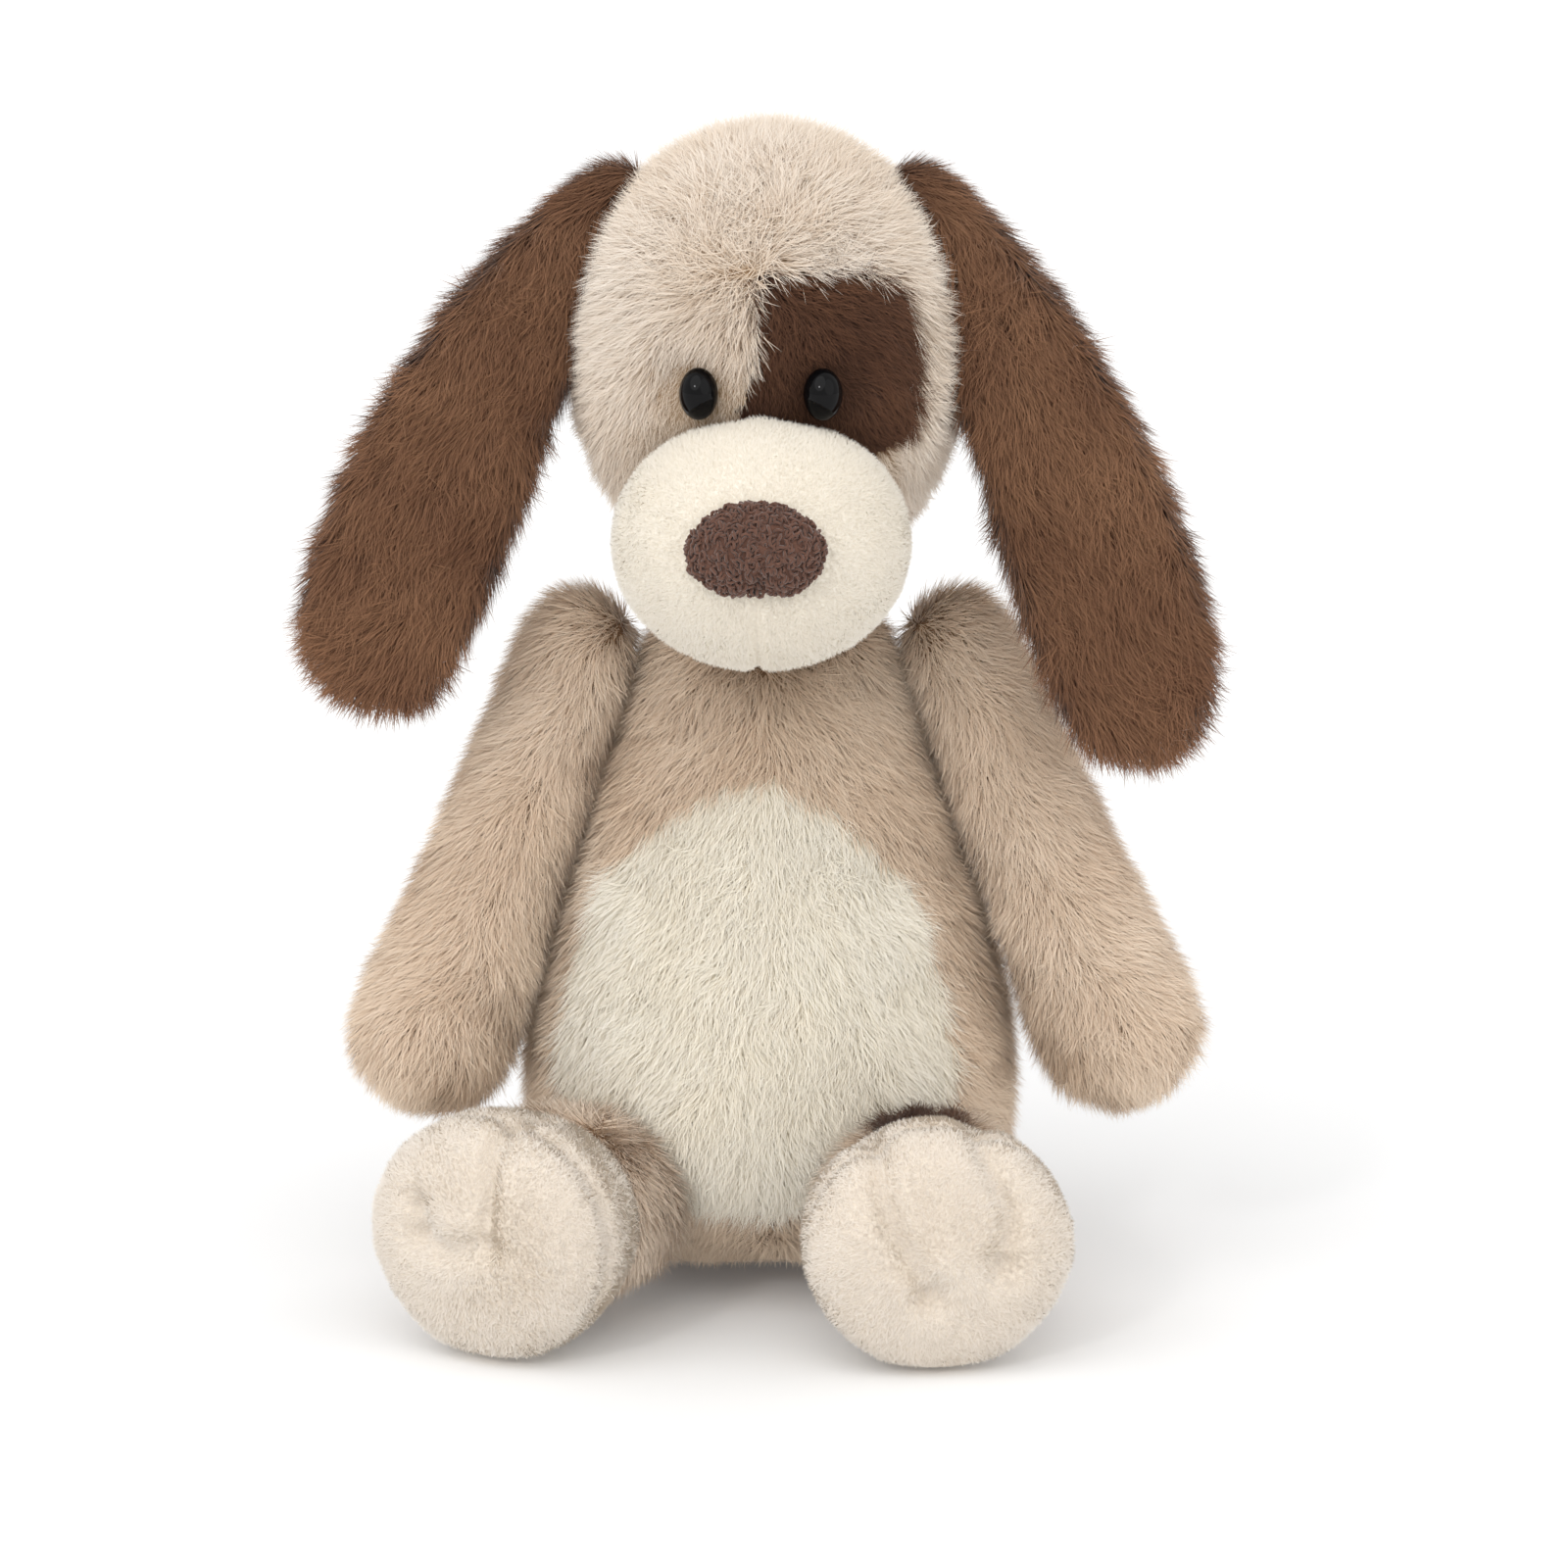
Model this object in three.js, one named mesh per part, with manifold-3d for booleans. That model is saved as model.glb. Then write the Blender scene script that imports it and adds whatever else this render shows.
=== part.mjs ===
// Plush dog sitting upright: stuffed plush skins with a movable head, ears, arms, legs and tail.
// Millimetres, +Z up. The dog faces -Y and its own left side is +X.
// The origin is the centre of the flat seat under the torso.
import * as THREE from "three";
import { mergeVertices } from "three/addons/utils/BufferGeometryUtils.js";
import Module from "manifold-3d";

const wasm = await Module();
wasm.setup();

// ---- driving dimensions ----
const gap = 0.3; // between pieces that touch
const play = 1.2; // between a limb and the body that it moves against
const skin = 3; // plush fabric, with its pile pressed flat
const shortSkin = 2.4; // short-pile fabric of the muzzle, nose and feet

const torso = {
  halfWidth: 53, halfDepth: 44, height: 154, widestAt: 46, seatRadius: 30,
  shoulderHalfWidth: 29, shoulderAt: 135, neckHole: 20,
};
const belly = { centreX: -3, halfWidth: 42, top: 118, widestAt: 50, bottom: 24 };
const pelletBag = { radius: 30, height: 24 };
const neck = { radius: 18, height: 156, forward: 2, socketGap: 0.6 };
const head = { halfWidth: 41, halfDepth: 43, halfHeight: 49, forward: 6, turn: 2, neckHole: 20 };
const muzzle = { halfWidth: 33, halfDepth: 30, halfHeight: 28, reach: 40, drop: 34 };
const nose = { halfWidth: 15, halfHeight: 10.3, depth: 6.5, lift: 3 };
const eyes = { spacing: 25.8, drop: 2.5, halfWidth: 4.2, halfHeight: 5.5, dome: 4.2 };
const eyePost = { radius: 1.6, length: 10.5, washerRadius: 6, washerThickness: 1.6, washerBehind: 3.6 };
const patch = { left: -5, right: 34.5, top: 24.5, bottom: -16 }; // from the head's centre
const ear = { width: 35, thickness: 3.6, rootInwards: 14, rootX: 36, rootUp: 42, lean: 12.5 };
const earLength = { left: 133, right: 124 };
const earHang = { left: 20.2, right: 23.4 }; // degrees out from straight down
const arm = {
  length: 117, shoulderRadius: 12.5, pawRadius: 17, flatness: 0.95, back: -1, top: 152, forward: 8,
};
const armHang = { left: 23.4, right: 21.4 };
const leg = { length: 66, thighRadius: 19.5, footRadius: 27, broad: 1.1, hipX: 30, hipY: -22 };
const footParts = { upperFrom: 31, soleFrom: 52 }; // distances from the hip along the leg
const legSplay = { left: 6, right: 32 };
const legPatch = { from: 8, to: 31, halfWidth: 11 };
const tail = { length: 46, radius: 9, height: 24, lift: 30, back: 34 };

const sides = [["left", 1], ["right", -1]];

// ---- solids ----
// A closed geometry as a solid that can be cut and joined.
function solid(geometry) {
  const bare = geometry.clone();
  bare.deleteAttribute("normal");
  bare.deleteAttribute("uv");
  const merged = mergeVertices(bare, 1e-4);
  const corners = merged.index.array;
  const kept = [];
  for (let i = 0; i < corners.length; i += 3) {
    const [a, b, c] = corners.slice(i, i + 3);
    if (a !== b && b !== c && c !== a) kept.push(a, b, c);
  }
  return new wasm.Manifold(new wasm.Mesh({
    numProp: 3,
    vertProperties: new Float32Array(merged.attributes.position.array),
    triVerts: new Uint32Array(kept),
  }));
}

function geometryOf(shape) {
  const { vertProperties, triVerts } = shape.getMesh();
  const geometry = new THREE.BufferGeometry();
  geometry.setAttribute("position", new THREE.BufferAttribute(vertProperties, 3));
  geometry.setIndex(new THREE.BufferAttribute(triVerts, 1));
  geometry.computeVertexNormals();
  return geometry;
}

// A copy of the geometry whose box is smaller by t on every side; a negative t makes it larger.
function inset(geometry, t) {
  geometry.computeBoundingBox();
  const size = geometry.boundingBox.getSize(new THREE.Vector3());
  const centre = geometry.boundingBox.getCenter(new THREE.Vector3());
  const shrink = (s) => (s - 2 * t) / s;
  return geometry.clone()
    .translate(-centre.x, -centre.y, -centre.z)
    .scale(shrink(size.x), shrink(size.y), shrink(size.z))
    .translate(centre.x, centre.y, centre.z);
}

// A round body about the Y axis: a flat disc at its start, then a curve through the other
// [radius, height] points up to the axis.
function revolve([start, ...points], steps, facets) {
  const curve = new THREE.SplineCurve(points.map(([r, y]) => new THREE.Vector2(r, y)));
  const profile = curve.getPoints(steps);
  profile[steps].x = 0;
  return new THREE.LatheGeometry([new THREE.Vector2(...start), ...profile], facets);
}

// An upright prism of a smooth closed XZ outline, running along Y from one place to another.
function prism(points, from, to, stepsPerPoint = 3) {
  const around = new THREE.CatmullRomCurve3(points.map(([x, z]) => new THREE.Vector3(x, z, 0)), true);
  const outline = new THREE.Shape(around.getPoints(points.length * stepsPerPoint).slice(1)
    .map((p) => new THREE.Vector2(p.x, p.y)));
  return new THREE.ExtrudeGeometry(outline, { depth: to - from, bevelEnabled: false })
    .rotateX(Math.PI / 2)
    .translate(0, to, 0);
}

const ellipsoid = (x, y, z, across = 24, down = 12) =>
  new THREE.SphereGeometry(1, across, down).rotateX(Math.PI / 2).scale(x, y, z);

const degrees = THREE.MathUtils.degToRad;

// ---- looks ----
const fabrics = {
  beige: [0xb8a08a, 0.95], headBeige: [0xd8c8b4, 0.95], cream: [0xf0e9d8, 0.95],
  brown: [0x6b4a35, 0.95], patchBrown: [0x543625, 0.95], noseBrown: [0x5b423b, 0.95],
  filling: [0xf4f2ec, 1], pellets: [0xcfd2d4, 0.9], black: [0x08080a, 0.08], washer: [0xe4e2dc, 0.5],
};

function piece(name, shape, fabric, parent) {
  const [color, roughness] = fabrics[fabric];
  const material = new THREE.MeshStandardMaterial({ color, roughness, metalness: 0 });
  const geometry = shape.isBufferGeometry ? shape : geometryOf(shape);
  const made = new THREE.Mesh(geometry, material);
  made.name = name;
  parent.add(made);
}

const dog = new THREE.Group();

// ---- torso: a pear-shaped skin with a belly panel, its filling and a bag of pellets ----
function torsoBody() {
  const { halfWidth: w, height: h, widestAt, seatRadius } = torso;
  const rise = torso.shoulderAt - widestAt;
  return revolve([
    [0, 0], [seatRadius, 0], [w * 0.82, widestAt * 0.17],
    [w * 0.95, widestAt * 0.48], [w, widestAt], [w * 0.95, widestAt + rise * 0.25],
    [w * 0.77, widestAt + rise * 0.6], [torso.shoulderHalfWidth, torso.shoulderAt],
    [torso.shoulderHalfWidth * 0.76, h - 5], [torso.shoulderHalfWidth * 0.34, h - 0.7], [0, h],
  ], 15, 24).rotateX(Math.PI / 2).scale(1, torso.halfDepth / w, 1);
}

function bellyOutline(grown) {
  const w = belly.halfWidth + grown;
  const top = belly.top + grown;
  const bottom = belly.bottom - grown;
  const rise = top - belly.widestAt;
  const half = [
    [w * 0.6, top - rise * 0.23], [w * 0.83, top - rise * 0.48], [w * 0.95, top - rise * 0.78],
    [w, belly.widestAt], [w * 0.6, bottom + (belly.widestAt - bottom) * 0.28],
  ];
  const other = half.map(([x, z]) => [-x, z]).reverse();
  const points = [[0, top], ...half, [0, bottom], ...other];
  return points.map(([x, z]) => [x + belly.centreX, z]);
}

const torsoOuter = torsoBody();
const neckCentre = [0, -neck.forward, neck.height];

function neckBall(radius) {
  return solid(new THREE.SphereGeometry(radius, 20, 10).translate(...neckCentre));
}

function makeTorso() {
  const shell = solid(torsoOuter).subtract(solid(inset(torsoOuter, skin)));
  const hole = new THREE.CylinderGeometry(torso.neckHole, torso.neckHole, 40, 24)
    .rotateX(Math.PI / 2).translate(...neckCentre);
  const open = shell.subtract(solid(hole));
  const reach = torso.halfDepth + 10;
  piece("torso_skin", open.subtract(solid(prism(bellyOutline(gap), -reach, 0))), "beige", dog);
  piece("belly_panel", open.intersect(solid(prism(bellyOutline(0), -reach, 0))), "cream", dog);

  const bagFloor = skin + gap;
  const { radius: r, height: h } = pelletBag;
  const bag = (grown, floor) => revolve([
    [0, floor], [r * 0.72 + grown, floor], [r + grown, bagFloor + h * 0.45],
    [r * 0.8 + grown, bagFloor + h * 0.85], [0, bagFloor + h + grown],
  ], 8, 16).rotateX(Math.PI / 2).scale(1, torso.halfDepth / torso.halfWidth, 1);
  const filling = solid(inset(torsoOuter, skin + gap))
    .subtract(solid(bag(gap, 0)))
    .subtract(neckBall(neck.radius + neck.socketGap));
  piece("torso_stuffing", filling, "filling", dog);
  piece("pellet_bag", bag(0, bagFloor), "pellets", dog);
}
makeTorso();
piece("neck_stuffing", neckBall(neck.radius), "filling", dog);

// ---- head: everything here is placed from the neck's centre ----
const headGroup = new THREE.Group();
headGroup.position.set(...neckCentre);
headGroup.rotation.z = degrees(-head.turn);
dog.add(headGroup);

const headUp = head.halfHeight + 1; // from the neck's centre to the head's
const headCentre = [0, -head.forward, headUp];
const headOuter = ellipsoid(head.halfWidth, head.halfDepth, head.halfHeight).translate(...headCentre);
const muzzleCentre = [0, headCentre[1] - muzzle.reach, headUp - muzzle.drop];
const muzzleOuter = ellipsoid(muzzle.halfWidth, muzzle.halfDepth, muzzle.halfHeight, 20, 10)
  .translate(...muzzleCentre);

function patchOutline(grown) {
  const { left, right, top, bottom } = patch;
  const width = right - left;
  return [
    [left + 2 - grown, top + grown], [left + width * 0.4, top + 1 + grown],
    [left + width * 0.75, top + grown], [right - 3 + grown, top - 8], [right + grown, top - 22],
    [right - 3 + grown, bottom], [left + width * 0.55, bottom - 6 - grown],
    [left - 3 - grown, bottom - 1], [left - grown, top - 20], [left + 1.2 - grown, top - 4],
  ].map(([x, z]) => [x, z + headUp]);
}

// A spot on the head's front, seen from straight ahead.
function onHead(x, up) {
  const across = (x / head.halfWidth) ** 2 + (up / head.halfHeight) ** 2;
  return [x, headCentre[1] - head.halfDepth * Math.sqrt(1 - across), headUp + up];
}

// A rod of the eye's post, pointing straight back from the head's surface.
function rod(spot, radius, from, to, facets = 12) {
  return solid(new THREE.CylinderGeometry(radius, radius, to - from, facets)
    .translate(0, (from + to) / 2, 0).translate(...spot));
}

function makeHead() {
  const spots = sides.map(([side, s]) => [side, onHead(s * eyes.spacing / 2, -eyes.drop)]);
  const reach = head.halfDepth + head.forward + 10;
  const eyeHoles = spots.map(([, spot]) => rod(spot, eyePost.radius + gap, -8, eyePost.length + 2));

  let shell = solid(headOuter)
    .subtract(solid(inset(headOuter, skin)))
    .subtract(solid(inset(muzzleOuter, -gap)))
    .subtract(solid(new THREE.CylinderGeometry(head.neckHole, head.neckHole, 30, 24)
      .rotateX(Math.PI / 2)));
  eyeHoles.forEach((hole) => { shell = shell.subtract(hole); });
  const patchPrism = (grown) => solid(prism(patchOutline(grown), -reach, -8));
  piece("head_skin", shell.subtract(patchPrism(gap)), "headBeige", headGroup);
  piece("eye_patch", shell.intersect(patchPrism(0)), "patchBrown", headGroup);

  const ball = solid(new THREE.SphereGeometry(neck.radius + neck.socketGap, 20, 10));
  const muzzleShell = solid(muzzleOuter)
    .subtract(solid(inset(muzzleOuter, shortSkin)))
    .subtract(solid(inset(headOuter, skin)))
    .subtract(ball);
  piece("muzzle_skin", muzzleShell, "cream", headGroup);
  const muzzleFilling = solid(inset(muzzleOuter, shortSkin + gap))
    .subtract(solid(inset(headOuter, skin)))
    .subtract(ball);
  piece("muzzle_stuffing", muzzleFilling, "filling", headGroup);

  let filling = solid(inset(headOuter, skin + gap)).subtract(ball);
  const washerFrom = skin + eyePost.washerBehind;
  spots.forEach(([side, spot]) => {
    const washerTo = washerFrom + eyePost.washerThickness;
    filling = filling
      .subtract(rod(spot, eyePost.washerRadius + gap, -10, washerTo + gap, 16))
      .subtract(rod(spot, eyePost.radius + gap, -10, eyePost.length + gap));
    const dome = solid(ellipsoid(eyes.halfWidth, eyes.dome, eyes.halfHeight, 14, 10)
      .translate(spot[0], spot[1] - gap, spot[2]));
    const backCut = solid(inset(headOuter, -gap));
    const post = rod(spot, eyePost.radius, -1.5, eyePost.length);
    piece(`eye_${side}`, dome.subtract(backCut).subtract(solid(inset(muzzleOuter, -gap))).add(post),
      "black", headGroup);
    const washer = rod(spot, eyePost.washerRadius, washerFrom, washerTo, 16)
      .subtract(rod(spot, eyePost.radius + gap, 0, 20));
    piece(`eye_washer_${side}`, washer, "washer", headGroup);
  });
  piece("head_stuffing", filling, "filling", headGroup);
}
makeHead();

// ---- nose: an oval pad sewn on the muzzle's tip, with a little wadding behind it ----
function makeNose() {
  const tip = muzzleCentre[1] - muzzle.halfDepth;
  const outer = ellipsoid(nose.halfWidth, nose.depth, nose.halfHeight, 16, 8)
    .translate(0, tip + 1.5, muzzleCentre[2] + nose.lift);
  const seat = solid(inset(muzzleOuter, -gap));
  const cover = solid(outer).subtract(solid(inset(outer, 1.6))).subtract(seat);
  piece("nose_cover", cover, "noseBrown", headGroup);
  piece("nose_wadding", solid(inset(outer, 1.6 + gap)).subtract(seat), "filling", headGroup);
}
makeNose();

// ---- ears: a front and a back panel each, sewn to the side of the head ----
function earOutline(side, s) {
  const half = ear.width / 2;
  const shift = half * 0.24; // the flap bulges outwards from its root
  const outer = (share) => shift + half * share;
  const points = [
    [-ear.rootInwards, 0], [-2, 0], [outer(0.22), 0.15], [outer(0.68), 0.34], [outer(1), 0.6],
    [outer(0.98), 0.78], [outer(0.74), 0.93], [outer(0), 1], [outer(-0.76), 0.955],
    [outer(-1), 0.8], [outer(-0.98), 0.6], [outer(-0.9), 0.42], [-ear.rootInwards, 0.2],
  ];
  return points.map(([a, b]) => [s * a, -b * earLength[side]]);
}

function makeEars() {
  const headCut = solid(inset(headOuter, -play));
  sides.forEach(([side, s]) => {
    const place = new THREE.Matrix4()
      .makeRotationFromEuler(new THREE.Euler(degrees(-ear.lean), degrees(-s * earHang[side]), 0, "YXZ"))
      .setPosition(s * ear.rootX, headCentre[1], headUp + ear.rootUp);
    const panel = (from, to) =>
      solid(prism(earOutline(side, s), from, to).applyMatrix4(place)).subtract(headCut);
    piece(`ear_${side}_front`, panel(-ear.thickness - gap / 2, -gap / 2), "brown", headGroup);
    piece(`ear_${side}_back`, panel(gap / 2, ear.thickness + gap / 2), "brown", headGroup);
  });
}
makeEars();

// ---- arms: club-shaped skins hanging from the shoulders ----
function armProfile() {
  const { length: l, shoulderRadius: r, pawRadius: paw } = arm;
  return [
    [0, 0], [r * 0.4, 0.2], [r * 0.93, 6], [r, l * 0.16], [r + (paw - r) * 0.25, l * 0.42],
    [r + (paw - r) * 0.6, l * 0.66], [paw, l * 0.85], [paw * 0.88, l * 0.94], [paw * 0.5, l * 0.993],
    [0, l],
  ];
}

// The arm as it lies at rest, its top this far out from the middle of the body.
function armPlace(side, s, out) {
  const turn = new THREE.Euler(degrees(-arm.forward), degrees(-s * armHang[side]), 0, "YXZ");
  return new THREE.Matrix4().makeRotationFromEuler(turn).setPosition(s * out, arm.back, arm.top);
}

function makeArms() {
  const outer = revolve(armProfile(), 11, 16).rotateX(-Math.PI / 2).scale(1, arm.flatness, 1);
  const torsoSolid = solid(torsoOuter);
  sides.forEach(([side, s]) => {
    // the arm hangs as close to the body as it can
    const swollen = inset(outer, -play);
    const touches = (out) => solid(swollen.clone().applyMatrix4(armPlace(side, s, out)))
      .intersect(torsoSolid).volume() > 0;
    let out = arm.shoulderRadius;
    while (touches(out)) out += 0.5;

    const group = new THREE.Group();
    armPlace(side, s, out).decompose(group.position, group.quaternion, group.scale);
    dog.add(group);
    const mouth = solid(new THREE.CylinderGeometry(6, 6, 16, 16)
      .rotateZ(Math.PI / 2).translate(-s * (arm.shoulderRadius + 2), 0, -14));
    const shell = solid(outer).subtract(solid(inset(outer, skin))).subtract(mouth);
    piece(`arm_${side}_skin`, shell, "beige", group);
    piece(`arm_${side}_stuffing`, solid(inset(outer, skin + gap)), "filling", group);
  });
}
makeArms();

// ---- legs: short thighs, each ending in a round foot with an upper band and a sole cushion ----
function slab(from, to) {
  return solid(new THREE.BoxGeometry(200, to - from, 200).translate(0, -(from + to) / 2, 0));
}

function makeLegs() {
  const { length: l, thighRadius: r, footRadius: foot } = leg;
  const outer = revolve([
    [0, -14], [r * 0.96, -14], [r, 8], [r, l * 0.3], [r * 1.08, l * 0.47],
    [foot * 0.95, l * 0.66], [foot, l * 0.8], [foot * 0.94, l * 0.91], [foot * 0.66, l * 0.98], [0, l],
  ], 14, 20).rotateX(Math.PI).scale(leg.broad, 1, 1);
  sides.forEach(([side, s]) => {
    const group = new THREE.Group();
    group.position.set(s * leg.hipX, leg.hipY, foot);
    group.rotation.z = s * degrees(legSplay[side]);
    group.updateMatrix();
    dog.add(group);
    const inLeg = group.matrix.clone().invert();
    const body = solid(inset(torsoOuter, -play).applyMatrix4(inLeg));
    const whole = (t) => solid(inset(outer, t)).subtract(body);
    const shell = whole(0).subtract(solid(inset(outer, shortSkin)));
    const { upperFrom, soleFrom } = footParts;
    let thigh = shell.intersect(slab(-40, upperFrom - gap));
    if (side === "left") {
      const spot = (grown) => solid(new THREE.BoxGeometry(
        2 * legPatch.halfWidth + 2 * grown, legPatch.to - legPatch.from + 2 * grown, 2 * r)
        .translate(0, -(legPatch.from + legPatch.to) / 2, r));
      piece("leg_left_patch", thigh.intersect(spot(0)), "brown", group);
      thigh = thigh.subtract(spot(gap));
    }
    piece(`leg_${side}_skin`, thigh, "beige", group);
    piece(`foot_${side}_upper`, shell.intersect(slab(upperFrom, soleFrom - gap)), "cream", group);
    piece(`foot_${side}_sole`, shell.intersect(slab(soleFrom, l + 10)), "cream", group);
    piece(`leg_${side}_stuffing`, whole(shortSkin + gap), "filling", group);
  });
}
makeLegs();

// ---- tail: a short stuffed skin behind the seat ----
function makeTail() {
  const { length: l, radius: r } = tail;
  const outer = revolve([
    [0, -8], [r * 0.9, -8], [r, l * 0.3], [r * 0.9, l * 0.7], [r * 0.6, l * 0.94], [0, l],
  ], 8, 14);
  const group = new THREE.Group();
  group.position.set(0, tail.back, tail.height);
  group.rotation.x = degrees(tail.lift);
  group.updateMatrix();
  dog.add(group);
  const body = solid(inset(torsoOuter, -play).applyMatrix4(group.matrix.clone().invert()));
  const shell = solid(outer).subtract(solid(inset(outer, skin))).subtract(body);
  piece("tail_skin", shell, "beige", group);
  piece("tail_stuffing", solid(inset(outer, skin + gap)).subtract(body), "filling", group);
}
makeTail();

export default dog;
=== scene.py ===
"""The plush dog: stuffed plush skins with their pile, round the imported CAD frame."""
import math

import bmesh
import bpy
import numpy as np
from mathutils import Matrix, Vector
from mathutils.bvhtree import BVHTree


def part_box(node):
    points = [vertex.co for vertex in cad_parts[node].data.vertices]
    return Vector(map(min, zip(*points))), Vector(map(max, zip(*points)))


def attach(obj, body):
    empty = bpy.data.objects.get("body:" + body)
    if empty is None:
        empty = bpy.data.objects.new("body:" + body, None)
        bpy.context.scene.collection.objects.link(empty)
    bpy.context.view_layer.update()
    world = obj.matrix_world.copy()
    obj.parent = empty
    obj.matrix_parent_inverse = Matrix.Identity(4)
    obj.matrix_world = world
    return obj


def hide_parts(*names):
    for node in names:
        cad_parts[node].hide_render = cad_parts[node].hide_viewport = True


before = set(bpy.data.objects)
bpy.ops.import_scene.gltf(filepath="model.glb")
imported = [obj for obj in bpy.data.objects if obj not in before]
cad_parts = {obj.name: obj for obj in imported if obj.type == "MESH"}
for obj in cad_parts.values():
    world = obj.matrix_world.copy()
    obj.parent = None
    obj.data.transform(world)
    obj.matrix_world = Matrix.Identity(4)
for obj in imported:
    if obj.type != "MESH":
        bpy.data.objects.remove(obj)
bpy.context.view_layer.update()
scene = bpy.context.scene
mm = 0.001
floor_gap = 0.4 * mm  # nothing of the dog comes nearer to the floor

# ---- Studio ----
# A white floor under an even white sky, with a broad lamp high on the left, a weak one on the
# right and a small one for the light in the eyes. The camera looks down 12 degrees from 1.3 m.
camera_target = Vector((0.0032, 0, 0.110))
camera_place = Vector((0.0032, -1.2716, 0.3803))
camera = bpy.data.objects.new("camera", bpy.data.cameras.new("camera"))
camera.data.sensor_width = 36
camera.data.lens = 135.7
camera.data.clip_end = 50
camera.location = camera_place
camera.rotation_euler = (camera_target - camera_place).to_track_quat("-Z", "Y").to_euler()
scene.collection.objects.link(camera)
scene.camera = camera
scene.view_settings.view_transform = "Standard"


def linear(hex_colour):
    """An sRGB hex colour as linear red, green, blue and alpha."""
    parts = [int(hex_colour[i : i + 2], 16) / 255 for i in (1, 3, 5)]
    return [c / 12.92 if c <= 0.04045 else ((c + 0.055) / 1.055) ** 2.4 for c in parts] + [1]


def node(tree, kind, settings=None, links=None):
    """Adds a node. Each of its inputs takes a plain value or another node's socket."""
    made = tree.nodes.new(kind)
    for name, value in (settings or {}).items():
        setattr(made, name, value)
    for key, value in (links or {}).items():
        if isinstance(value, bpy.types.NodeSocket):
            tree.links.new(value, made.inputs[key])
        else:
            made.inputs[key].default_value = value
    return made


def new_material(name):
    """A material with its node tree and its Principled shader."""
    material = bpy.data.materials.new(name)
    material.use_nodes = True
    return material, material.node_tree, material.node_tree.nodes["Principled BSDF"]


world = bpy.data.worlds.new("studio")
world.use_nodes = True
world.node_tree.nodes["Background"].inputs["Color"].default_value = (1, 1, 1, 1)
world.node_tree.nodes["Background"].inputs["Strength"].default_value = 0.86
scene.world = world
for name, strength, width, aim in (
    ("key lamp", 0.95, 65, (0.45, 0.85, -1.0)),
    ("fill lamp", 0.4, 60, (-0.7, 0.7, -0.5)),
    ("catch lamp", 0.3, 7, (0.45, 0.9, -0.55)),
):
    lamp = bpy.data.lights.new(name, "SUN")
    lamp.energy = strength
    lamp.angle = math.radians(width)
    lamp_object = bpy.data.objects.new(name, lamp)
    lamp_object.rotation_euler = Vector(aim).to_track_quat("-Z", "Y").to_euler()
    scene.collection.objects.link(lamp_object)

floor_mesh = bpy.data.meshes.new("floor")
floor_mesh.from_pydata([(-9, -9, 0), (9, -9, 0), (9, 9, 0), (-9, 9, 0)], [], [(0, 1, 2, 3)])
floor = bpy.data.objects.new("floor", floor_mesh)
scene.collection.objects.link(floor)
floor_paint, tree, shader = new_material("white matt board")
shader.inputs["Base Color"].default_value = linear("#f6f6f6")
shader.inputs["Roughness"].default_value = 0.9
shader.inputs["Specular IOR Level"].default_value = 0.1
shader.inputs["Emission Color"].default_value = (1, 1, 1, 1)
shader.inputs["Emission Strength"].default_value = 0.06
floor_mesh.materials.append(floor_paint)

# ---- Torso and belly panel ----
# Polyester-filled bag of beige long-pile plush, cut and sewn, with a cream panel let into its
# front and a flat seat. The pile is about 8 mm of crimped acrylic fibre that hangs down.


def cad_copy(name, nodes):
    """An object with merged copies of these CAD nodes' surfaces."""
    form = bmesh.new()
    for cad_node in nodes:
        form.from_mesh(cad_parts[cad_node].data)
    bmesh.ops.remove_doubles(form, verts=form.verts, dist=1e-6)
    mesh = bpy.data.meshes.new(name)
    form.to_mesh(mesh)
    form.free()
    made = bpy.data.objects.new(name, mesh)
    scene.collection.objects.link(made)
    return made


def settled(piece):
    """The piece with its modifiers made final."""
    graph = bpy.context.evaluated_depsgraph_get()
    mesh = bpy.data.meshes.new_from_object(piece.evaluated_get(graph))
    piece.modifiers.clear()
    piece.data = mesh
    return piece


def points_of(mesh, what="vertices", field="co"):
    """The mesh's points, or another field of three numbers, as an array."""
    source = getattr(mesh, what)
    flat = np.empty(len(source) * 3)
    source.foreach_get(field, flat)
    return flat.reshape(-1, 3)


def normals_of(mesh):
    return points_of(mesh, "vertex_normals", "vector")


def move_points(mesh, places):
    mesh.vertices.foreach_set("co", np.asarray(places, float).ravel())
    mesh.update()


cloth_frames = 20  # long enough for the filling to press the cloth out
nearly_down = 3 * mm  # a form that comes this near to the floor rests on it
sole_height = 12 * mm  # the height over which a resting form is drawn down


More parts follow.
